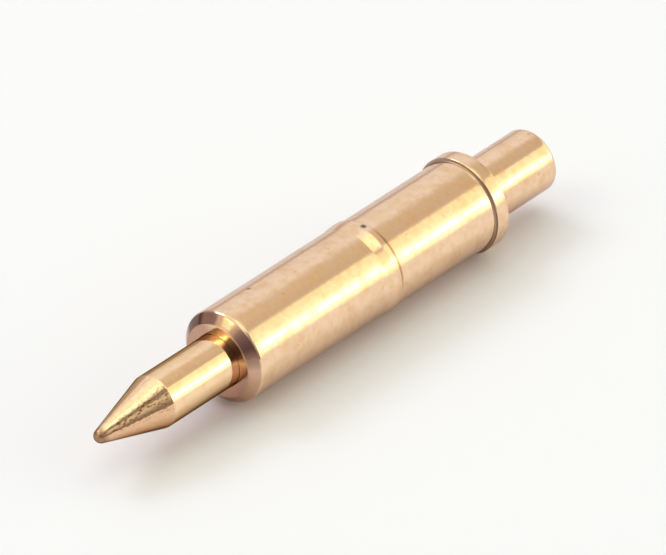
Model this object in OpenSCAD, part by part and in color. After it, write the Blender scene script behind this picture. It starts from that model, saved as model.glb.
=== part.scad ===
// Spring-loaded contact pin for a board or cable connector.
// A turned barrel with a flange, a retaining barb and a solder tail holds a cone-tipped plunger
// and the coil spring that pushes it out.
// The pin lies along X, with its tip towards -X and its tail towards +X.
// The origin is on the axis, in the flange face that stops against the housing.

/* [Barrel] */
// Outer diameter of the barrel in front of the barb
barrel_d = 2.6; // [2.5:0.05:3]
// From the flange's seat to the barrel's front face
barrel_len = 9.55; // [9:0.05:12]
// Thickness of the barrel's wall
wall = 0.3; // [0.25:0.05:0.4]
// Leg of the rolled-in edge round the mouth
rim_leg = 0.26; // [0.16:0.02:0.3]
// Radius where the rolled-in edge leaves the barrel's side
rim_round = 0.15; // [0.05:0.01:0.2]
// Length of the mouth that guides the plunger
mouth_len = 0.3; // [0.2:0.05:0.6]
// From the flange's seat to the floor of the bore
bore_floor = 0.6; // [0.3:0.05:1]

/* [Barb] */
// From the flange's seat to the barb's holding edge
barb_at = 3.8; // [2.5:0.05:5]
// Length of the barb's ramp, which faces the tip
barb_len = 0.5; // [0.3:0.05:1]
// How far the holding edge stands out of the barrel's side
barb_rise = 0.035; // [0.02:0.005:0.06]
// How much thinner the barrel is from the barb to the flange
relief = 0.02; // [0:0.01:0.06]

/* [Flange and tail] */
// How far the flange stands out of the barrel's side
flange_out = 0.075; // [0.06:0.005:0.4]
// Thickness of the flange
flange_t = 0.44; // [0.3:0.02:0.8]
// Rounding of the flange's edges
flange_round = 0.03; // [0.01:0.01:0.04]
// Diameter of the solder tail
tail_d = 1.78; // [1.4:0.02:2.2]
// Length of the solder tail behind the flange
tail_len = 2.55; // [1.5:0.05:6]
// Rounding of the tail's end
tail_round = 0.14; // [0.05:0.01:0.3]

/* [Plunger] */
// Diameter of the plunger where it comes out of the barrel
plunger_d = 1.5; // [1.3:0.05:1.6]
// Straight length that shows in front of the barrel
plunger_out = 2.54; // [2.2:0.02:4]
// Full angle of the cone
cone_angle = 30; // [25:1:60]
// Radius of the cone's tip
tip_r = 0.21; // [0.05:0.01:0.25]
// Radius where the straight length turns into the cone
cone_blend = 0.2; // [0.05:0.05:0.5]
// Straight length of the head that stays in the barrel
head_len = 2.4; // [1.6:0.1:2.6]
// How far the plunger is pushed in
pushed_in = 0; // [0:0.1:2]

/* [Spring] */
// Diameter of the spring wire
wire_d = 0.2; // [0.14:0.02:0.22]
// Turns from end to end, with one closed turn at each end
turns = 11; // [8:1:12]

/* [Fits] */
// Gap all round between plunger and barrel
slide_gap = 0.02; // [0.01:0.005:0.04]
// Gap along the axis where the mouth stops the plunger
stop_gap = 0.005; // [0.005:0.005:0.01]
// Gap all round between spring and bore
spring_gap = 0.1; // [0.06:0.02:0.14]

/* [Hidden] */
$fn = 96;

// Nose of the turning tool, which leaves the small corners round
tool_nose = 0.04;
// Break on the front edge of the mouth
mouth_break = 0.02;
// Break on the rear edge of the plunger's head
head_break = 0.08;
// Angle between neighbouring points on a rounded corner
arc_step = 15;

barrel_r = barrel_d / 2;
neck_r = barrel_r - relief / 2;
barb_r = barrel_r + barb_rise;
flange_r = barrel_r + flange_out;
tail_r = tail_d / 2;
bore_r = barrel_r - wall;
plunger_r = plunger_d / 2;
mouth_r = plunger_r + slide_gap;
head_r = bore_r - slide_gap;
tail_end = -flange_t - tail_len;

// The mouth's inside slopes at 45 degrees, and so does the plunger's shoulder
mouth_back = barrel_len - mouth_len;
slope_back = mouth_back - (bore_r - mouth_r);
shoulder_top = mouth_back + slide_gap - stop_gap;
shoulder_foot = shoulder_top - (head_r - plunger_r);
head_rear = shoulder_foot - head_len;

// The round tip touches the cone's flank where their slopes agree
flank = cone_angle / 2;
cone_base = barrel_len + plunger_out;
apex = cone_base + plunger_r / tan(flank);
tip_centre = apex - tip_r / sin(flank);
tip_steps = 6;

// The spring stands on the bore's floor and under the plunger's rear
coil_r = bore_r - spring_gap - wire_d / 2;
spring_front = head_rear - pushed_in;
steps_per_turn = 20;
wire_sides = 10;
steps = turns * steps_per_turn;
// Thickness that grinding leaves at the very end of the wire
wire_end = wire_d / 4;

// Unit vector from a to b
function toward(a, b) = (b - a) / norm(b - a);

// Vector v turned by an angle
function swung(v, angle) = [v.x * cos(angle) - v.y * sin(angle), v.x * sin(angle) + v.y * cos(angle)];

// Points of the arc of radius q that rounds corner b, on the way from a to c
function corner_arc(a, b, c, q) =
    let (
        half = acos(toward(a, b) * toward(b, c)) / 2,
        centre = b + toward([0, 0], toward(b, a) + toward(b, c)) * q / cos(half),
        from = b + toward(b, a) * q * tan(half) - centre,
        sweep = 2 * half * sign(cross(toward(a, b), toward(b, c))),
        count = ceil(abs(sweep) / arc_step)
    )
    [for (i = [0 : count]) centre + swung(from, sweep * i / count)];

// Closed outline through corners of the form [radius, height, rounding]
function outline(corners) =
    let (
        count = len(corners),
        at = [for (k = corners) [k[0], k[1]]]
    )
    [
        for (i = [0 : count - 1])
            each corners[i][2] > 0
                ? corner_arc(at[i - 1], at[i], at[(i + 1) % count], corners[i][2])
                : [at[i]]
    ];

// Solid turned from an outline about the pin's axis, with its heights pointing to the tip
module turned(points) {
    rotate([0, -90, 0]) rotate_extrude() polygon(points);
}

// Barrel with flange, barb, tail and bore, turned from one bar and rolled in at the mouth
module barrel() {
    color([0.84, 0.68, 0.42])
    turned(outline([
        [0, tail_end, 0],
        [tail_r, tail_end, tail_round],
        [tail_r, -flange_t, tool_nose],
        [flange_r, -flange_t, flange_round],
        [flange_r, 0, flange_round],
        [neck_r, 0, 0],
        [neck_r, barb_at, 0],
        [barb_r, barb_at, 0],
        [barrel_r, barb_at + barb_len, 0],
        [barrel_r, barrel_len - rim_leg, rim_round],
        [barrel_r - rim_leg, barrel_len, tool_nose],
        [mouth_r, barrel_len, mouth_break],
        [mouth_r, mouth_back, 0],
        [bore_r, slope_back, 0],
        [bore_r, bore_floor, tool_nose],
        [0, bore_floor, 0]
    ]));
}

// Plunger with its cone, round tip and the wider head that the mouth keeps in
module plunger() {
    color([0.9, 0.74, 0.46])
    translate([pushed_in, 0, 0])
    turned([
        each outline([
            [0, head_rear, 0],
            [head_r, head_rear, head_break],
            [head_r, shoulder_foot, 0],
            [plunger_r, shoulder_top, 0],
            [plunger_r, cone_base, cone_blend],
            [tip_r * cos(flank), tip_centre + tip_r * sin(flank), 0]
        ]),
        for (i = [1 : tip_steps])
            [0, tip_centre] + swung([tip_r, 0], flank + (90 - flank) * i / tip_steps)
    ]);
}

// Height of the wire's centre after i steps: close round each end turn, evenly open in between
function wire_height(i) =
    let (
        low = bore_floor + wire_end - wire_d / 2,
        high = spring_front - wire_end + wire_d / 2,
        open = (i - steps_per_turn) / (steps - 2 * steps_per_turn)
    )
    i < steps_per_turn ? low + wire_d * i / steps_per_turn
    : i > steps - steps_per_turn ? high - wire_d * (steps - i) / steps_per_turn
    : low + wire_d + (high - low - 2 * wire_d) * open;

// Point j round the wire after i steps, ground level with the spring's two flat ends
function wire_point(i, j) =
    let (
        turn = 360 * i / steps_per_turn,
        side = 360 * j / wire_sides,
        reach = coil_r + cos(side) * wire_d / 2,
        height = wire_height(i) + sin(side) * wire_d / 2
    )
    [reach * cos(turn), reach * sin(turn), min(max(height, bore_floor), spring_front)];

// Triangles that close the wire's end at ring i, fanned out from corner j
function wire_cap(i, j) = [
    for (k = [1 : wire_sides - 2])
        [for (m = [0, k, k + 1]) i * wire_sides + (j + m) % wire_sides]
];

// Compression spring with closed and ground ends
module spring() {
    color([0.72, 0.72, 0.74])
    rotate([0, -90, 0])
    polyhedron(
        points = [for (i = [0 : steps], j = [0 : wire_sides - 1]) wire_point(i, j)],
        faces = [
            each wire_cap(0, floor(wire_sides / 4)),
            for (i = [0 : steps - 1], j = [0 : wire_sides - 1])
                let (k = (j + 1) % wire_sides, a = i * wire_sides, b = a + wire_sides)
                each [[a + j, b + j, b + k], [a + j, b + k, a + k]],
            for (t = wire_cap(steps, floor(wire_sides * 3 / 4))) [t[2], t[1], t[0]]
        ]
    );
}

barrel();
plunger();
spring();
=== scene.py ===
import math

import bpy
from mathutils import Matrix, Vector


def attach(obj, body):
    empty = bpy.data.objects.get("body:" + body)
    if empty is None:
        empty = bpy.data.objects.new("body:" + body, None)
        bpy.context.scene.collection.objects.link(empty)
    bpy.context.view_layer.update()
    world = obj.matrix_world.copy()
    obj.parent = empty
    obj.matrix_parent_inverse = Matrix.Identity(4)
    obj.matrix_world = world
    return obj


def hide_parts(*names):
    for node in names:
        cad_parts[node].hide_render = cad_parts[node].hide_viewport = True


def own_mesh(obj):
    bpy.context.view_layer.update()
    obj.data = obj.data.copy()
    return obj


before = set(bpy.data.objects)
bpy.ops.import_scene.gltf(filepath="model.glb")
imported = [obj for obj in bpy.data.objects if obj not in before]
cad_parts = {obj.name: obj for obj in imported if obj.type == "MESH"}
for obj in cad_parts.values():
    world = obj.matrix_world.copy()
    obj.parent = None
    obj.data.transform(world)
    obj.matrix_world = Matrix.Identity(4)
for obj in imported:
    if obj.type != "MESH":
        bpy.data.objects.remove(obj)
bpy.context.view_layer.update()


# Barrel
# One piece of brass bar turned on a lathe: solder tail, flange, barb and a body bored from the front.
# It is plated with nickel and gold, and its mouth is rolled in once the spring and plunger are inside.

# Millimetres in a metre: a piece's sizes are written in millimetres, and Blender works in metres
per_mm = 1000


def linear(hex_colour):
    """Linear colour of an sRGB hex value."""
    shares = [int(hex_colour[i:i + 2], 16) / 255 for i in (1, 3, 5)]
    return [s / 12.92 if s <= 0.04045 else ((s + 0.055) / 1.055) ** 2.4 for s in shares] + [1.0]


def add_node(tree, kind, inputs=(), **settings):
    """A new node with its settings, and with each input linked to a socket or set to a value."""
    node = tree.nodes.new(kind)
    for setting, value in settings.items():
        setattr(node, setting, value)
    for key, value in dict(inputs).items():
        if isinstance(value, bpy.types.NodeSocket):
            tree.links.new(value, node.inputs[key])
        else:
            node.inputs[key].default_value = value
    return node


def turning_tree(name, sizes, corners):
    """Geometry tree of a turned piece. Each corner names the sizes that give its radius, its height
    towards the tip and its rounding."""
    tree = bpy.data.node_groups.new(name, "GeometryNodeTree")
    ask = tree.interface.new_socket
    ask("Turned piece", in_out="OUTPUT", socket_type="NodeSocketGeometry")
    for size in [*sizes, "Longest step"]:
        ask(size, in_out="INPUT", socket_type="NodeSocketFloat")
    for count in ("Facets", "Arc steps"):
        ask(count, in_out="INPUT", socket_type="NodeSocketInt")
    ask("Finish", in_out="INPUT", socket_type="NodeSocketMaterial")
    given = add_node(tree, "NodeGroupInput").outputs
    index = add_node(tree, "GeometryNodeInputIndex").outputs[0]
    position = add_node(tree, "GeometryNodeInputPosition").outputs[0]

    # Corners of the outline, with radius as X and height as Y
    places = add_node(tree, "GeometryNodeIndexSwitch", data_type="VECTOR")
    roundings = add_node(tree, "GeometryNodeIndexSwitch", data_type="FLOAT")
    for _ in corners[2:]:
        places.index_switch_items.new()
        roundings.index_switch_items.new()
    for i, (radius, height, rounding) in enumerate(corners, 1):
        place = add_node(tree, "ShaderNodeCombineXYZ", {
            key: given[size] for key, size in (("X", radius), ("Y", height)) if size})
        tree.links.new(place.outputs[0], places.inputs[i])
        if rounding:
            tree.links.new(given[rounding], roundings.inputs[i])
    for switch in (places, roundings):
        tree.links.new(index, switch.inputs["Index"])

    # Outline with rounded corners and no step longer than the longest one
    line = add_node(tree, "GeometryNodeCurvePrimitiveLine")
    bent = add_node(tree, "GeometryNodeResampleCurve", {"Curve": line.outputs[0], "Count": len(corners)})
    outline = add_node(tree, "GeometryNodeSetPosition", {
        "Geometry": bent.outputs[0], "Position": places.outputs[0]})
    is_round = add_node(tree, "FunctionNodeCompare", {0: roundings.outputs[0]}, operation="GREATER_THAN")
    arc_steps = add_node(tree, "FunctionNodeIntegerMath", {
        0: is_round.outputs[0], 1: given["Arc steps"]}, operation="MULTIPLY")
    rounded = add_node(tree, "GeometryNodeFilletCurve", {
        "Curve": outline.outputs[0], "Count": arc_steps.outputs[0],
        "Radius": roundings.outputs[0], "Limit Radius": True}, mode="POLY")
    next_index = add_node(tree, "FunctionNodeIntegerMath", {0: index, 1: 1}, operation="ADD")
    next_place = add_node(tree, "GeometryNodeFieldAtIndex", {
        "Index": next_index.outputs[0], "Value": position}, data_type="FLOAT_VECTOR")
    gap = add_node(tree, "ShaderNodeVectorMath", {
        0: position, 1: next_place.outputs[0]}, operation="DISTANCE")
    steps = add_node(tree, "ShaderNodeMath", {
        0: gap.outputs["Value"], 1: given["Longest step"]}, operation="DIVIDE")
    cuts = add_node(tree, "ShaderNodeMath", {0: steps.outputs[0]}, operation="FLOOR")
    fine = add_node(tree, "GeometryNodeSubdivideCurve", {
        "Curve": rounded.outputs[0], "Cuts": cuts.outputs[0]}).outputs[0]
    points = add_node(tree, "GeometryNodeAttributeDomainSize", {0: fine}, component="CURVE")

    # The outline carried round the axis: one row of the sheet for each of its points
    columns = add_node(tree, "FunctionNodeIntegerMath", {
        0: given["Facets"], 1: 1}, operation="ADD").outputs[0]
    sheet = add_node(tree, "GeometryNodeMeshGrid", {
        "Vertices X": points.outputs["Point Count"], "Vertices Y": columns})
    row = add_node(tree, "FunctionNodeIntegerMath", {0: index, 1: columns}, operation="DIVIDE_FLOOR")
    column = add_node(tree, "FunctionNodeIntegerMath", {0: index, 1: columns}, operation="MODULO")
    corner = add_node(tree, "GeometryNodeSampleIndex", {
        "Geometry": fine, "Value": position, "Index": row.outputs[0]}, data_type="FLOAT_VECTOR")
    place = add_node(tree, "ShaderNodeSeparateXYZ", {0: corner.outputs[0]})
    turn = add_node(tree, "ShaderNodeMath", {0: column.outputs[0], 1: given["Facets"]}, operation="DIVIDE")
    angle = add_node(tree, "ShaderNodeMath", {0: turn.outputs[0], 1: math.tau}, operation="MULTIPLY")
    across = [
        add_node(tree, "ShaderNodeMath", {
            0: place.outputs["X"],
            1: add_node(tree, "ShaderNodeMath", {0: angle.outputs[0]}, operation=wave).outputs[0],
        }, operation="MULTIPLY").outputs[0]
        for wave in ("COSINE", "SINE")]
    along = add_node(tree, "ShaderNodeMath", {0: place.outputs["Y"], 1: -1.0}, operation="MULTIPLY")
    carried = add_node(tree, "ShaderNodeCombineXYZ", {
        "X": along.outputs[0], "Y": across[0], "Z": across[1]})
    shell = add_node(tree, "GeometryNodeSetPosition", {
        "Geometry": sheet.outputs["Mesh"], "Position": carried.outputs[0]})

    # Seam and poles closed, and the outline's plain corners left sharp
    same_place, plain_corner = 1e-8, math.radians(25)
    closed = add_node(tree, "GeometryNodeMergeByDistance", {
        "Geometry": shell.outputs[0], "Distance": same_place})
    edge = add_node(tree, "GeometryNodeInputMeshEdgeAngle")
    is_sharp = add_node(tree, "FunctionNodeCompare", {
        0: edge.outputs["Unsigned Angle"], 1: plain_corner}, operation="GREATER_THAN")
    smooth = add_node(tree, "GeometryNodeSetShadeSmooth", {
        "Geometry": closed.outputs[0], "Shade Smooth": True})
    edged = add_node(tree, "GeometryNodeSetShadeSmooth", {
        "Geometry": smooth.outputs[0], "Selection": is_sharp.outputs[0],
        "Shade Smooth": False}, domain="EDGE")
    real = add_node(tree, "GeometryNodeRealizeInstances", {"Geometry": edged.outputs[0]})
    finished = add_node(tree, "GeometryNodeSetMaterial", {
        "Geometry": real.outputs[0], "Material": given["Finish"]})
    add_node(tree, "NodeGroupOutput", {0: finished.outputs[0]})
    return tree


def made_from(tree, name, lengths, **others):
    """Plain mesh that a geometry tree makes from lengths in millimetres, counts and a finish."""
    piece = bpy.data.objects.new(name, bpy.data.meshes.new(name))
    bpy.context.scene.collection.objects.link(piece)
    maker = piece.modifiers.new(tree.name, "NODES")
    maker.node_group = tree
    for socket in tree.interface.items_tree:
        if socket.name in lengths:
            maker[socket.identifier] = lengths[socket.name] / per_mm
        elif socket.name in others:
            maker[socket.identifier] = others[socket.name]
    evaluated = piece.evaluated_get(bpy.context.evaluated_depsgraph_get())
    mesh = bpy.data.meshes.new_from_object(evaluated)
    piece.modifiers.remove(maker)
    piece.data = mesh
    return piece


# The mouth fits closely round the plunger, and its inner slope falls at 45 degrees like the plunger's
# shoulder
barrel_lengths = {
    "Tail radius": 0.89, "Tail end": -2.99, "Tail rounding": 0.14, "Tool nose": 0.04,
    "Flange radius": 1.375, "Flange back": -0.44, "Flange rounding": 0.03,
    "Neck radius": 1.29, "Barb edge": 3.8, "Barb radius": 1.335, "Barb top": 3.97, "Barb foot": 4.3,
    "Barb rounding": 0.6,
    "Barrel radius": 1.3, "Rim start": 9.29, "Rim rounding": 0.15, "Rim radius": 1.04, "Front": 9.55,
    "Mouth radius": 0.757, "Mouth break": 0.008, "Mouth back": 9.263,
    "Bore radius": 1.0, "Slope back": 9.02, "Bore floor": 0.6,
}
barrel_corners = [
    (None, "Tail end", None), ("Tail radius", "Tail end", "Tail rounding"),
    ("Tail radius", "Flange back", "Tool nose"), ("Flange radius", "Flange back", "Flange rounding"),
    ("Flange radius", None, "Flange rounding"), ("Neck radius", None, "Tool nose"),
    ("Neck radius", "Barb edge", None), ("Barb radius", "Barb edge", None),
    ("Barb radius", "Barb top", "Barb rounding"), ("Barrel radius", "Barb foot", "Barb rounding"),
    ("Barrel radius", "Rim start", "Rim rounding"),
    ("Rim radius", "Front", "Tool nose"), ("Mouth radius", "Front", "Mouth break"),
    ("Mouth radius", "Mouth back", None), ("Bore radius", "Slope back", None),
    ("Bore radius", "Bore floor", "Tool nose"), (None, "Bore floor", None),
]

# Gold plate over nickel on turned brass: a soft mirror of pale yellow. Faint orange stains and fine
# mottling take away its newness, specks catch in the bright band, painted shade dulled like dirt draws the
# inner corners, and brown painted shade with some tarnish darkens the mouth.
stained_and_shaded_gold = bpy.data.materials.new("stained_and_shaded_gold_plate")
stained_and_shaded_gold.use_nodes = True
tree = stained_and_shaded_gold.node_tree
place = add_node(tree, "ShaderNodeTexCoord").outputs["Object"]
stain_size, mottle_size, speck_spacing, ripple_size, tool_feed = 0.6, 0.2, 0.4, 0.16, 0.03

stains = add_node(tree, "ShaderNodeTexNoise", {
    "Vector": place, "Scale": per_mm / stain_size, "Detail": 2.0})
mottle = add_node(tree, "ShaderNodeTexNoise", {
    "Vector": place, "Scale": per_mm / mottle_size, "Detail": 3.0})
stain_share = add_node(tree, "ShaderNodeMapRange", {
    "Value": stains.outputs[0], "From Min": 0.46, "From Max": 0.7, "To Max": 0.36},
    interpolation_type="SMOOTHSTEP")
mottle_share = add_node(tree, "ShaderNodeMapRange", {
    "Value": mottle.outputs[0], "From Min": 0.4, "From Max": 0.72, "To Max": 0.55})
dulled = add_node(tree, "ShaderNodeMath", {
    0: stain_share.outputs[0], 1: mottle_share.outputs[0]}, operation="ADD", use_clamp=True)
colour = add_node(tree, "ShaderNodeMix", {
    "Factor": dulled.outputs[0], 6: linear("#F7D5B3"), 7: linear("#E8BC8C")}, data_type="RGBA")

# Specks: one spot in some of the cells, each as large as its cell's random share allows
cells = add_node(tree, "ShaderNodeTexVoronoi", {"Vector": place, "Scale": per_mm / speck_spacing})
speck_reach = add_node(tree, "ShaderNodeMapRange", {
    "Value": cells.outputs["Color"], "From Min": 0.5, "From Max": 0.9, "To Max": 0.2})
speck = add_node(tree, "ShaderNodeMapRange", {
    "Value": cells.outputs["Distance"], "From Min": 0.0, "From Max": speck_reach.outputs[0],
    "To Min": 0.7, "To Max": 0.0})
colour = add_node(tree, "ShaderNodeMix", {
    "Factor": speck.outputs[0], 6: colour.outputs[2], 7: linear("#C58A4C")}, data_type="RGBA")

# Painted shade, dulled like dirt, behind one side of the barb's edge and all round the corner before the
# flange, which is at the origin. From each side along the axis it has a place where it starts and one
# where it is full.
along = add_node(tree, "ShaderNodeSeparateXYZ", {0: place}).outputs["X"]
from_axis = add_node(tree, "ShaderNodeVectorMath", {0: place, 1: (0, 1, 1)}, operation="MULTIPLY")
spoke = add_node(tree, "ShaderNodeVectorMath", {0: from_axis.outputs[0]}, operation="NORMALIZE")
barb_side = math.radians(145)
toward_barb = add_node(tree, "ShaderNodeVectorMath", {
    0: spoke.outputs[0], 1: (0, math.cos(barb_side), math.sin(barb_side))}, operation="DOT_PRODUCT")
on_barb_side = add_node(tree, "ShaderNodeMapRange", {
    "Value": toward_barb.outputs["Value"], "From Min": 0.7, "From Max": 0.92, "To Min": 0.15})
barb_edge = -barrel_lengths["Barb edge"]
for spans, round_it, mark_colour in (
        (((barb_edge + 0.13, barb_edge + 0.08), (barb_edge - 0.01, barb_edge)),
         on_barb_side.outputs[0], "#C0966A"),
        (((-0.045, -0.02), (0.012, 0.004)), 1.0, "#B09684")):
    share = round_it
    for start, full in spans:
        span = add_node(tree, "ShaderNodeMapRange", {
            "Value": along, "From Min": start / per_mm, "From Max": full / per_mm})
        share = add_node(tree, "ShaderNodeMath", {
            0: span.outputs[0], 1: share}, operation="MULTIPLY").outputs[0]
    colour = add_node(tree, "ShaderNodeMix", {
        "Factor": share, 6: colour.outputs[2], 7: linear(mark_colour)}, data_type="RGBA")
flange_corner_shade_and_dirt = share

# Brown painted shade, partly tarnish, on the rolled-in mouth, all round its edge and its face but for one
# side of the face, which stayed bright
bright_side = math.radians(116)
facing = add_node(tree, "ShaderNodeVectorMath", {
    0: spoke.outputs[0], 1: (0, math.cos(bright_side), math.sin(bright_side))}, operation="DOT_PRODUCT")
ragged = add_node(tree, "ShaderNodeMath", {
    0: mottle.outputs[0], 1: 0.3, 2: facing.outputs["Value"]}, operation="MULTIPLY_ADD")
mouth_shade_side = add_node(tree, "ShaderNodeMapRange", {
    "Value": ragged.outputs[0], "From Min": 1.04, "From Max": 0.75, "To Max": 0.9})
rim_start, rim_radius = -barrel_lengths["Rim start"], barrel_lengths["Rim radius"]
on_mouth = add_node(tree, "ShaderNodeMapRange", {
    "Value": along, "From Min": (rim_start + 0.02) / per_mm, "From Max": (rim_start - 0.04) / per_mm},
    interpolation_type="SMOOTHSTEP")
radius = add_node(tree, "ShaderNodeVectorMath", {0: from_axis.outputs[0]}, operation="LENGTH")
on_edge = add_node(tree, "ShaderNodeMapRange", {
    "Value": radius.outputs["Value"],
    "From Min": (rim_radius - 0.01) / per_mm, "From Max": (rim_radius + 0.04) / per_mm,
    "To Min": mouth_shade_side.outputs[0], "To Max": 0.8})
mouth_shade_and_tarnish = add_node(tree, "ShaderNodeMath", {
    0: on_mouth.outputs[0], 1: on_edge.outputs[0]}, operation="MULTIPLY")
colour = add_node(tree, "ShaderNodeMix", {
    "Factor": mouth_shade_and_tarnish.outputs[0], 6: colour.outputs[2], 7: linear("#BE9580")}, data_type="RGBA")

# Painted shade on one side of the mouth, close round the plunger, and on two sides of the rolled-in edge:
# which side in degrees, how much of it as cosines, how far from the rim's inner edge it is clear and
# full, and its colour
for side, edge, middle, clear, full, mark_colour in (
        (134, 0.89, 0.95, 0.01, -0.06, "#4A2C22"), (40, 0.93, 0.97, -0.02, 0.02, "#5E4034"),
        (152, 0.93, 1.0, -0.02, 0.02, "#8E6C5C")):
    toward_shade = add_node(tree, "ShaderNodeVectorMath", {
        0: spoke.outputs[0], 1: (0, math.cos(math.radians(side)), math.sin(math.radians(side)))},
        operation="DOT_PRODUCT")
    on_side = add_node(tree, "ShaderNodeMapRange", {
        "Value": toward_shade.outputs["Value"], "From Min": edge, "From Max": middle, "To Max": 0.85})
    in_ring = add_node(tree, "ShaderNodeMapRange", {
        "Value": radius.outputs["Value"], "From Min": (rim_radius + clear) / per_mm,
        "From Max": (rim_radius + full) / per_mm, "To Max": on_side.outputs[0]})
    share = add_node(tree, "ShaderNodeMath", {
        0: in_ring.outputs[0], 1: on_mouth.outputs[0]}, operation="MULTIPLY")
    colour = add_node(tree, "ShaderNodeMix", {
        "Factor": share.outputs[0], 6: colour.outputs[2], 7: linear(mark_colour)}, data_type="RGBA")

# Two dark spots: one at the barb's edge and a smaller one near the front
for spot, reach, mark_colour in (
        ((-3.87, -0.07, 1.328), 0.12, "#4A4045"), ((-7.92, 0.34, 1.255), 0.09, "#A07458")):
    away = add_node(tree, "ShaderNodeVectorMath", {
        0: place, 1: [c / per_mm for c in spot]}, operation="DISTANCE")
    share = add_node(tree, "ShaderNodeMapRange", {
        "Value": away.outputs["Value"], "From Min": 0.3 * reach / per_mm, "From Max": reach / per_mm,
        "To Min": 0.85, "To Max": 0.0}, interpolation_type="SMOOTHSTEP")
    colour = add_node(tree, "ShaderNodeMix", {
        "Factor": share.outputs[0], 6: colour.outputs[2], 7: linear(mark_colour)}, data_type="RGBA")

# Faint ripples of the polish, and the fine rings that the tool left on its way along and across the
# bar, with their depths in metres
ripple_depth, ring_depth = 1.0e-6, 0.3e-6
ripples = add_node(tree, "ShaderNodeTexNoise", {
    "Vector": place, "Scale": per_mm / ripple_size, "Detail": 2.0})
tool_path = add_node(tree, "ShaderNodeMath", {0: along, 1: radius.outputs["Value"]}, operation="ADD")
tool_lines = add_node(tree, "ShaderNodeTexNoise", {
    "W": tool_path.outputs[0], "Scale": per_mm / tool_feed, "Detail": 1.0}, noise_dimensions="1D")
rippled = add_node(tree, "ShaderNodeBump", {
    "Height": ripples.outputs[0], "Distance": ripple_depth, "Strength": 1.0})
lined = add_node(tree, "ShaderNodeBump", {
    "Height": tool_lines.outputs[0], "Distance": ring_depth, "Strength": 1.0,
    "Normal": rippled.outputs[0]})
dull_plate = add_node(tree, "ShaderNodeMapRange", {
    "Value": dulled.outputs[0], "To Min": 0.11, "To Max": 0.2})
dirt_roughness = 0.35
roughness = add_node(tree, "ShaderNodeMath", {
    0: flange_corner_shade_and_dirt, 1: dirt_roughness, 2: dull_plate.outputs[0]}, operation="MULTIPLY_ADD")

skin = tree.nodes["Principled BSDF"]
skin.inputs["Metallic"].default_value = 1.0
skin.inputs["Specular Tint"].default_value = linear("#E0DEE4")
tree.links.new(colour.outputs[2], skin.inputs["Base Color"])
tree.links.new(roughness.outputs[0], skin.inputs["Roughness"])
tree.links.new(lined.outputs[0], skin.inputs["Normal"])

barrel = made_from(
    turning_tree("Turned barrel", barrel_lengths, barrel_corners), "gold_barrel",
    {**barrel_lengths, "Longest step": 0.1}, **{"Facets": 208, "Arc steps": 8, "Finish": stained_and_shaded_gold})
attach(barrel, "barrel")
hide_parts("barrel")


# Spring
# Drawn steel wire coiled on a mandrel, with one closed turn at each end and both ends ground flat.
# It stands on the bore's floor and presses the plunger's head against the mouth.

# It ends a hair short of the plunger's rear, so that the two ends never cross
spring_start, spring_end, wire_thickness, ground_thickness = 0.6, 6.63, 0.2, 0.05
uncut_start = spring_start + ground_thickness - wire_thickness / 2
uncut_end = spring_end - ground_thickness + wire_thickness / 2
spring_lengths = {
    "Coil radius": 0.8, "Wire radius": wire_thickness / 2, "Wire start": uncut_start,
    "Closed rise": wire_thickness, "Open rise": uncut_end - uncut_start - 2 * wire_thickness,
    "Ground start": spring_start, "Ground end": spring_end,
}
spring_tree = bpy.data.node_groups.new("Coil spring", "GeometryNodeTree")
ask = spring_tree.interface.new_socket
ask("Coil", in_out="OUTPUT", socket_type="NodeSocketGeometry")
for size in spring_lengths:
    ask(size, in_out="INPUT", socket_type="NodeSocketFloat")
for count in ("Turns", "Steps per turn", "Wire sides"):
    ask(count, in_out="INPUT", socket_type="NodeSocketInt")
ask("Finish", in_out="INPUT", socket_type="NodeSocketMaterial")
given = add_node(spring_tree, "NodeGroupInput").outputs

# Path of the wire's centre: a closed turn at each end, and evenly open turns between them
steps = add_node(spring_tree, "FunctionNodeIntegerMath", {
    0: given["Turns"], 1: given["Steps per turn"]}, operation="MULTIPLY")
points = add_node(spring_tree, "FunctionNodeIntegerMath", {0: steps.outputs[0], 1: 1}, operation="ADD")
line = add_node(spring_tree, "GeometryNodeCurvePrimitiveLine")
path = add_node(spring_tree, "GeometryNodeResampleCurve", {
    "Curve": line.outputs[0], "Count": points.outputs[0]})
index = add_node(spring_tree, "GeometryNodeInputIndex")
turn = add_node(spring_tree, "ShaderNodeMath", {
    0: index.outputs[0], 1: given["Steps per turn"]}, operation="DIVIDE").outputs[0]
last_turn = add_node(spring_tree, "ShaderNodeMath", {
    0: given["Turns"], 1: 1.0}, operation="SUBTRACT").outputs[0]
height = given["Wire start"]
for first, last, rise in (
        (0.0, 1.0, "Closed rise"), (1.0, last_turn, "Open rise"),
        (last_turn, given["Turns"], "Closed rise")):
    risen = add_node(spring_tree, "ShaderNodeMapRange", {
        "Value": turn, "From Min": first, "From Max": last, "To Max": given[rise]})
    height = add_node(spring_tree, "ShaderNodeMath", {
        0: height, 1: risen.outputs[0]}, operation="ADD").outputs[0]
angle = add_node(spring_tree, "ShaderNodeMath", {0: turn, 1: math.tau}, operation="MULTIPLY")
spoke = add_node(spring_tree, "ShaderNodeCombineXYZ", {"X": height, "Z": given["Coil radius"]})
coiled = add_node(spring_tree, "ShaderNodeVectorRotate", {
    "Vector": spoke.outputs[0], "Angle": angle.outputs[0]}, rotation_type="X_AXIS")
coil = add_node(spring_tree, "GeometryNodeSetPosition", {
    "Geometry": path.outputs[0], "Position": coiled.outputs[0]})

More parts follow.
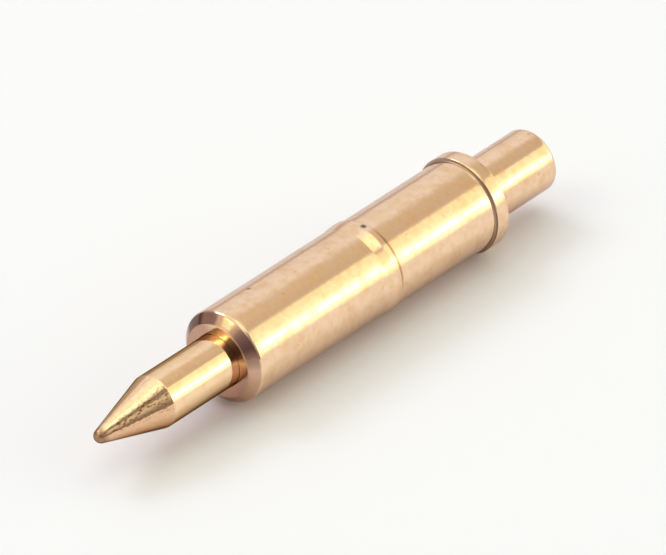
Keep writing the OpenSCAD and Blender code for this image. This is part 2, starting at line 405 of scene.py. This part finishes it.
# Round wire along the path, with each end ground level
section = add_node(spring_tree, "GeometryNodeCurvePrimitiveCircle", {
    "Resolution": given["Wire sides"], "Radius": given["Wire radius"]})
wire = add_node(spring_tree, "GeometryNodeCurveToMesh", {
    "Curve": coil.outputs[0], "Profile Curve": section.outputs[0], "Fill Caps": True})
place = add_node(spring_tree, "ShaderNodeSeparateXYZ", {
    0: add_node(spring_tree, "GeometryNodeInputPosition").outputs[0]}).outputs
level = add_node(spring_tree, "ShaderNodeClamp", {
    "Value": place["X"], "Min": given["Ground start"], "Max": given["Ground end"]})
levelled = add_node(spring_tree, "ShaderNodeCombineXYZ", {
    "X": level.outputs[0], "Y": place["Y"], "Z": place["Z"]})
ground = add_node(spring_tree, "GeometryNodeSetPosition", {
    "Geometry": wire.outputs[0], "Position": levelled.outputs[0]})

# Turned round, so that its heights point to the tip, with the edges of the ground ends left sharp
ground_edge = math.radians(35)
laid = add_node(spring_tree, "GeometryNodeTransform", {
    "Geometry": ground.outputs[0], "Rotation": (0, 0, math.pi)})
edge = add_node(spring_tree, "GeometryNodeInputMeshEdgeAngle")
is_sharp = add_node(spring_tree, "FunctionNodeCompare", {
    0: edge.outputs["Unsigned Angle"], 1: ground_edge}, operation="GREATER_THAN")
smooth = add_node(spring_tree, "GeometryNodeSetShadeSmooth", {
    "Geometry": laid.outputs[0], "Shade Smooth": True})
edged = add_node(spring_tree, "GeometryNodeSetShadeSmooth", {
    "Geometry": smooth.outputs[0], "Selection": is_sharp.outputs[0],
    "Shade Smooth": False}, domain="EDGE")
real = add_node(spring_tree, "GeometryNodeRealizeInstances", {"Geometry": edged.outputs[0]})
finished = add_node(spring_tree, "GeometryNodeSetMaterial", {
    "Geometry": real.outputs[0], "Material": given["Finish"]})
add_node(spring_tree, "NodeGroupOutput", {0: finished.outputs[0]})

# Drawn spring wire: grey steel with fine streaks from the drawing die, which dull it unevenly
drawn_steel = bpy.data.materials.new("drawn_steel_wire")
drawn_steel.use_nodes = True
tree = drawn_steel.node_tree
place = add_node(tree, "ShaderNodeTexCoord").outputs["Object"]
streak_size = 0.05
streaks = add_node(tree, "ShaderNodeTexNoise", {
    "Vector": place, "Scale": per_mm / streak_size, "Detail": 3.0})
colour = add_node(tree, "ShaderNodeMix", {
    "Factor": streaks.outputs[0], 6: linear("#D2D3D6"), 7: linear("#B4B4B8")}, data_type="RGBA")
roughness = add_node(tree, "ShaderNodeMapRange", {
    "Value": streaks.outputs[0], "From Min": 0.3, "From Max": 0.7, "To Min": 0.2, "To Max": 0.4})
skin = tree.nodes["Principled BSDF"]
skin.inputs["Metallic"].default_value = 1.0
tree.links.new(colour.outputs[2], skin.inputs["Base Color"])
tree.links.new(roughness.outputs[0], skin.inputs["Roughness"])

spring = made_from(
    spring_tree, "coil_spring", spring_lengths,
    **{"Turns": 11, "Steps per turn": 40, "Wire sides": 16, "Finish": drawn_steel})
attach(spring, "barrel")
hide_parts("spring")
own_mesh(spring)


# Plunger
# One piece of brass turned with a 30 degree cone, a small round tip and a wider head.
# It is gold plated and slides in the barrel, where the rolled-in mouth keeps its head in.

plunger_lengths = {
    "Head radius": 0.98, "Head rear": 6.635, "Head break": 0.08, "Shoulder foot": 9.035,
    "Shank radius": 0.75, "Shoulder top": 9.265, "Cone base": 12.04, "Cone blend": 0.2,
    "Tip rounding": 0.2,
}
# The round tip touches the cone's flank and the flat that would end the cone there
cone_flank = math.radians(15)
plunger_lengths["Tip flat"] = plunger_lengths["Tip rounding"] * math.tan((math.pi / 2 - cone_flank) / 2)
plunger_lengths["Tip end"] = plunger_lengths["Cone base"] + (
    plunger_lengths["Shank radius"] - plunger_lengths["Tip flat"]) / math.tan(cone_flank)
plunger_corners = [
    (None, "Head rear", None), ("Head radius", "Head rear", "Head break"),
    ("Head radius", "Shoulder foot", None), ("Shank radius", "Shoulder top", None),
    ("Shank radius", "Cone base", "Cone blend"), ("Tip flat", "Tip end", "Tip rounding"),
    (None, "Tip end", None),
]

# Gold plate on turned brass, cleaner than the barrel because it slides. The cone keeps rings from the
# tool, speckles that lie along its flank and brown painted shade on its lower side, and the tip is worn
# brown.
clean_gold = bpy.data.materials.new("clean_gold_plate")
clean_gold.use_nodes = True
tree = clean_gold.node_tree
place = add_node(tree, "ShaderNodeTexCoord").outputs["Object"]
along = add_node(tree, "ShaderNodeSeparateXYZ", {0: place}).outputs["X"]
mottle = add_node(tree, "ShaderNodeTexNoise", {
    "Vector": place, "Scale": per_mm / mottle_size, "Detail": 2.0})
dulled = add_node(tree, "ShaderNodeMapRange", {
    "Value": mottle.outputs[0], "From Min": 0.4, "From Max": 0.75, "To Max": 0.5})
colour = add_node(tree, "ShaderNodeMix", {
    "Factor": dulled.outputs[0], 6: linear("#FFDCB3"), 7: linear("#F2C294")}, data_type="RGBA")

# Speckles on the cone alone, about three times as long as wide and thickest on one side, and brown
# painted shade on the side below them: which side in degrees, how much of it as cosines, and the share
# beside it and on it
speckle_size, speckle_stretch = 0.05, 0.35
drawn_out = add_node(tree, "ShaderNodeVectorMath", {
    0: place, 1: (speckle_stretch, 1, 1)}, operation="MULTIPLY")
speckles = add_node(tree, "ShaderNodeTexNoise", {
    "Vector": drawn_out.outputs[0], "Scale": per_mm / speckle_size, "Detail": 2.0})
cone_base = -plunger_lengths["Cone base"]
on_cone = add_node(tree, "ShaderNodeMapRange", {
    "Value": along, "From Min": (cone_base + 0.04) / per_mm, "From Max": (cone_base - 0.06) / per_mm})
from_axis = add_node(tree, "ShaderNodeVectorMath", {0: place, 1: (0, 1, 1)}, operation="MULTIPLY")
spoke = add_node(tree, "ShaderNodeVectorMath", {0: from_axis.outputs[0]}, operation="NORMALIZE")
marks = []
for side, edge, middle, least, most in ((143, 0.86, 0.95, 0.15, 1.0), (190, 0.6, 0.9, 0.0, 0.6)):
    toward_side = add_node(tree, "ShaderNodeVectorMath", {
        0: spoke.outputs[0], 1: (0, math.cos(math.radians(side)), math.sin(math.radians(side)))},
        operation="DOT_PRODUCT")
    on_side = add_node(tree, "ShaderNodeMapRange", {
        "Value": toward_side.outputs["Value"], "From Min": edge, "From Max": middle,
        "To Min": least, "To Max": most})
    marks.append(add_node(tree, "ShaderNodeMath", {
        0: on_side.outputs[0], 1: on_cone.outputs[0]}, operation="MULTIPLY").outputs[0])
speckled, lower_side_shade = marks
spotted = add_node(tree, "ShaderNodeMapRange", {
    "Value": speckles.outputs[0], "From Min": 0.5, "From Max": 0.64, "To Max": speckled})
colour = add_node(tree, "ShaderNodeMix", {
    "Factor": spotted.outputs[0], 6: colour.outputs[2], 7: linear("#9C7040")}, data_type="RGBA")
colour = add_node(tree, "ShaderNodeMix", {
    "Factor": lower_side_shade, 6: colour.outputs[2], 7: linear("#D8A684")}, data_type="RGBA")
wear_start, wear_full = -13.96, -14.14
worn = add_node(tree, "ShaderNodeMapRange", {
    "Value": along, "From Min": wear_start / per_mm, "From Max": wear_full / per_mm, "To Max": 0.9})
colour = add_node(tree, "ShaderNodeMix", {
    "Factor": worn.outputs[0], 6: colour.outputs[2], 7: linear("#A27C64")}, data_type="RGBA")

# The same ripples and rings as on the barrel, and shallow pits under the speckles
ripple_depth, ring_depth, pit_depth = 0.8e-6, 0.4e-6, 2.0e-6
ripples = add_node(tree, "ShaderNodeTexNoise", {
    "Vector": place, "Scale": per_mm / ripple_size, "Detail": 2.0})
tool_lines = add_node(tree, "ShaderNodeTexNoise", {
    "W": along, "Scale": per_mm / tool_feed, "Detail": 1.0}, noise_dimensions="1D")
rippled = add_node(tree, "ShaderNodeBump", {
    "Height": ripples.outputs[0], "Distance": ripple_depth, "Strength": 1.0})
lined = add_node(tree, "ShaderNodeBump", {
    "Height": tool_lines.outputs[0], "Distance": ring_depth, "Strength": 1.0,
    "Normal": rippled.outputs[0]})
cone_marks = add_node(tree, "ShaderNodeMath", {0: speckles.outputs[0], 1: speckled}, operation="MULTIPLY")
marked = add_node(tree, "ShaderNodeBump", {
    "Height": cone_marks.outputs[0], "Distance": pit_depth, "Strength": 1.0,
    "Normal": lined.outputs[0]})
dull_plate = add_node(tree, "ShaderNodeMapRange", {
    "Value": dulled.outputs[0], "To Min": 0.07, "To Max": 0.14})
roughness = dull_plate
for mark, mark_roughness in ((spotted, 0.15), (worn, 0.3)):
    roughness = add_node(tree, "ShaderNodeMath", {
        0: mark.outputs[0], 1: mark_roughness, 2: roughness.outputs[0]}, operation="MULTIPLY_ADD")

skin = tree.nodes["Principled BSDF"]
skin.inputs["Metallic"].default_value = 1.0
skin.inputs["Specular Tint"].default_value = linear("#685648")
tree.links.new(colour.outputs[2], skin.inputs["Base Color"])
tree.links.new(roughness.outputs[0], skin.inputs["Roughness"])
tree.links.new(marked.outputs[0], skin.inputs["Normal"])

plunger = made_from(
    turning_tree("Turned plunger", plunger_lengths, plunger_corners), "gold_plunger",
    {**plunger_lengths, "Longest step": 0.08}, **{"Facets": 192, "Arc steps": 12, "Finish": clean_gold})
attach(plunger, "plunger")
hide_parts("plunger")


# Floor
# A sheet of matt pale card under the pin, such as small parts are photographed on.
# The flange is the pin's widest part, so only the flange touches it.

floor_card = bpy.data.materials.new("pale_card")
floor_card.use_nodes = True
skin = floor_card.node_tree.nodes["Principled BSDF"]
skin.inputs["Base Color"].default_value = linear("#EFF1FA")
skin.inputs["Roughness"].default_value = 0.9
skin.inputs["Specular IOR Level"].default_value = 0.1
half_side = 2.0
floor_height = -barrel_lengths["Flange radius"] / per_mm
floor_mesh = bpy.data.meshes.new("floor")
floor_mesh.from_pydata(
    [(x * half_side, y * half_side, floor_height) for x, y in ((-1, -1), (1, -1), (1, 1), (-1, 1))],
    [], [(0, 1, 2, 3)])
floor_mesh.materials.append(floor_card)
floor = bpy.data.objects.new("floor", floor_mesh)
bpy.context.scene.collection.objects.link(floor)


# Camera
# It looks down on the pin from the front, from so far away that the pin hardly narrows.
# It is aimed by the pixel of the photograph where the middle of the barrel lies.

image_width, image_height, sensor_width = 666, 555, 36
camera_azimuth, camera_elevation = math.radians(-49.4), math.radians(33.4)
camera_distance = 0.43
pixels_per_metre = 38730
studio_right = Vector((math.cos(camera_azimuth), math.sin(camera_azimuth), 0))
studio_front = Vector((math.sin(camera_azimuth), -math.cos(camera_azimuth), 0))
studio_up = Vector((0, 0, 1))
back = studio_front * math.cos(camera_elevation) + studio_up * math.sin(camera_elevation)
image_up = back.cross(studio_right)
mid_barrel = Vector((-0.004739, 0, 0))
mid_barrel_pixel = (339.4, 282.5)
aim = (mid_barrel
       - studio_right * (mid_barrel_pixel[0] - image_width / 2) / pixels_per_metre
       + image_up * (mid_barrel_pixel[1] - image_height / 2) / pixels_per_metre)
camera_data = bpy.data.cameras.new("camera")
camera_data.sensor_width = sensor_width
camera_data.lens = sensor_width * camera_distance * pixels_per_metre / image_width
camera_data.clip_start = 0.01
camera = bpy.data.objects.new("camera", camera_data)
camera.matrix_world = Matrix.Translation(aim + back * camera_distance) @ Matrix(
    (studio_right, image_up, back)).transposed().to_4x4()
bpy.context.scene.collection.objects.link(camera)
bpy.context.scene.camera = camera


# Light
# A light tent with a dark opening at the front, where the camera stands: a diffuser overhead, walls at
# the front left and on the right with lamps above and behind them, a dim corner at the front right,
# and a key light from the rear left.

world = bpy.data.worlds.new("light_tent")
world.use_nodes = True
bpy.context.scene.world = world
tree = world.node_tree
direction = add_node(tree, "ShaderNodeTexCoord").outputs["Generated"]
rear_turn = math.radians(135)
room_rear = studio_right * math.sin(rear_turn) + studio_front * math.cos(rear_turn)
depth = add_node(tree, "ShaderNodeVectorMath", {0: direction, 1: room_rear}, operation="DOT_PRODUCT")
fade = add_node(tree, "ShaderNodeMapRange", {
    "Value": depth.outputs["Value"], "From Min": -0.5, "From Max": 0.8}, interpolation_type="SMOOTHSTEP")
shade = add_node(tree, "ShaderNodeMix", {
    "Factor": fade.outputs[0], 6: linear("#A89A9E"), 7: linear("#DED6D8")}, data_type="RGBA")

# Each panel is a soft-edged rectangle one unit away from the pin, and covers those before it: the way
# to it, then its two sides with centre, half size and half width of the soft edge, its brightness and
# its colour
seam_turn, lamp_turn = math.radians(37.36), math.radians(41.07)
left_turn, right_turn = math.radians(57), math.radians(62)
seam_along = studio_right * math.cos(seam_turn) + studio_front * math.sin(seam_turn)
seam_across = studio_front * math.cos(seam_turn) - studio_right * math.sin(seam_turn)
lamp_along = studio_right * math.cos(lamp_turn) + studio_front * math.sin(lamp_turn)
lamp_across = studio_front * math.cos(lamp_turn) - studio_right * math.sin(lamp_turn)
front_left = studio_front * math.cos(left_turn) - studio_right * math.sin(left_turn)
front_left_side = studio_front * math.sin(left_turn) + studio_right * math.cos(left_turn)
front_right = studio_right * math.sin(right_turn) + studio_front * math.cos(right_turn)
front_right_side = studio_right * math.cos(right_turn) - studio_front * math.sin(right_turn)
panels = {
    "diffuser overhead": (
        studio_up, (studio_right, -0.31, 0.69, 0.18), (studio_front, -2.635, 3.365, 0.5), 1.0, "#F7F8FA"),
    "brighter front of the diffuser": (
        studio_up, (studio_right, -0.565, 0.865, 0.1), (studio_front, -0.01, 0.74, 0.14), 1.2, "#FFFFF4"),
    "dim edge of the diffuser": (
        studio_up, (lamp_along, 0.15, 0.42, 0.28), (lamp_across, -0.95, 0.2, 0.08), 1.0, "#D2C6B6"),
    "opening at the front": (
        studio_front, (studio_right, -0.1, 0.45, 0.12), (studio_up, 0.33, 0.45, 0.14), 1.0, "#8C8087"),
    "pale sheet below the opening": (
        studio_front, (studio_right, 0.1, 0.5, 0.2), (studio_up, 0.0, 0.16, 0.16), 0.8, "#F4ECE8"),
    "wall at the front left": (
        front_left, (front_left_side, -0.15, 0.5, 0.2), (studio_up, 0.46, 0.62, 0.12), 0.95, "#FFF8E4"),
    "lamp above the left wall": (
        front_left, (front_left_side, -0.2, 0.3, 0.12), (studio_up, 1.22, 0.2, 0.08), 4.3, "#FFFFD0"),
    "small lamp overhead": (
        studio_up, (studio_right, 0.2, 0.14, 0.08), (studio_front, -0.05, 0.25, 0.1), 1.55, "#FFFFE8"),
    "wall on the right": (
        studio_right, (studio_front, -0.442, 0.748, 0.06), (studio_up, 0.0, 0.99, 0.06), 1.2, "#FFFFDC"),
    "glow round the right wall's lamp": (
        studio_right, (studio_front, -0.03, 0.5, 0.3), (studio_up, 0.27, 0.3, 0.3), 1.57, "#FFFFE4"),
    "lamp behind the right wall": (
        studio_right, (studio_front, -0.03, 0.25, 0.15), (studio_up, 0.27, 0.11, 0.12), 2.9, "#FFFFF0"),
    "lamp above the right wall": (
        studio_up, (lamp_along, 0.19, 0.37, 0.08), (lamp_across, -0.545, 0.195, 0.05), 1.47, "#FFFFDC"),
    "dark seam overhead": (
        studio_up, (seam_along, 0.58, 0.1, 0.07), (seam_across, -0.16, 0.18, 0.05), 0.24, "#F8F4EE"),
    "dim corner at the front right": (
        front_right, (front_right_side, -0.14, 0.3, 0.08), (studio_up, 0.85, 0.95, 0.15), 0.3, "#FFF6E4"),
    "lighter band in the dim corner": (
        front_right, (front_right_side, -0.14, 0.3, 0.08), (studio_up, 0.72, 0.34, 0.2), 0.68, "#FFF8E4"),
}
for panel, (way, *sides, brightness, cloth) in panels.items():
    ahead = add_node(tree, "ShaderNodeVectorMath", {0: direction, 1: way}, operation="DOT_PRODUCT")
    cover = add_node(tree, "ShaderNodeMath", {0: ahead.outputs["Value"], 1: 0.0}, operation="GREATER_THAN")
    for side, centre, half, soft in sides:
        aside = add_node(tree, "ShaderNodeVectorMath", {0: direction, 1: side}, operation="DOT_PRODUCT")
        share = add_node(tree, "ShaderNodeMath", {
            0: aside.outputs["Value"], 1: ahead.outputs["Value"]}, operation="DIVIDE")
        off = add_node(tree, "ShaderNodeMath", {0: share.outputs[0], 1: centre}, operation="SUBTRACT")
        reach = add_node(tree, "ShaderNodeMath", {0: off.outputs[0]}, operation="ABSOLUTE")
        within = add_node(tree, "ShaderNodeMapRange", {
            "Value": reach.outputs[0], "From Min": half - soft, "From Max": half + soft,
            "To Min": 1.0, "To Max": 0.0}, interpolation_type="SMOOTHSTEP")
        cover = add_node(tree, "ShaderNodeMath", {
            0: cover.outputs[0], 1: within.outputs[0]}, operation="MULTIPLY")
    shade = add_node(tree, "ShaderNodeMix", {
        "Factor": cover.outputs[0], 6: shade.outputs[2],
        7: [brightness * c for c in linear(cloth)]}, data_type="RGBA", label=panel)
tree.links.new(shade.outputs[2], tree.nodes["Background"].inputs["Color"])

key_azimuth, key_elevation = math.radians(-125), math.radians(48)
key_distance, key_side, key_radiance = 0.6, 0.2, 5.8
key_back = ((studio_right * math.sin(key_azimuth) + studio_front * math.cos(key_azimuth))
            * math.cos(key_elevation) + studio_up * math.sin(key_elevation))
key_data = bpy.data.lights.new("rear_key", "AREA")
key_data.size = key_side
key_data.color = linear("#EAECFF")[:3]
key_data.energy = key_radiance * math.pi * key_side ** 2
key = bpy.data.objects.new("rear_key", key_data)
key.matrix_world = Matrix.Translation(key_back * key_distance) @ (
    key_back.to_track_quat("Z", "Y").to_matrix().to_4x4())
bpy.context.scene.collection.objects.link(key)

bpy.context.scene.view_settings.view_transform = "Standard"
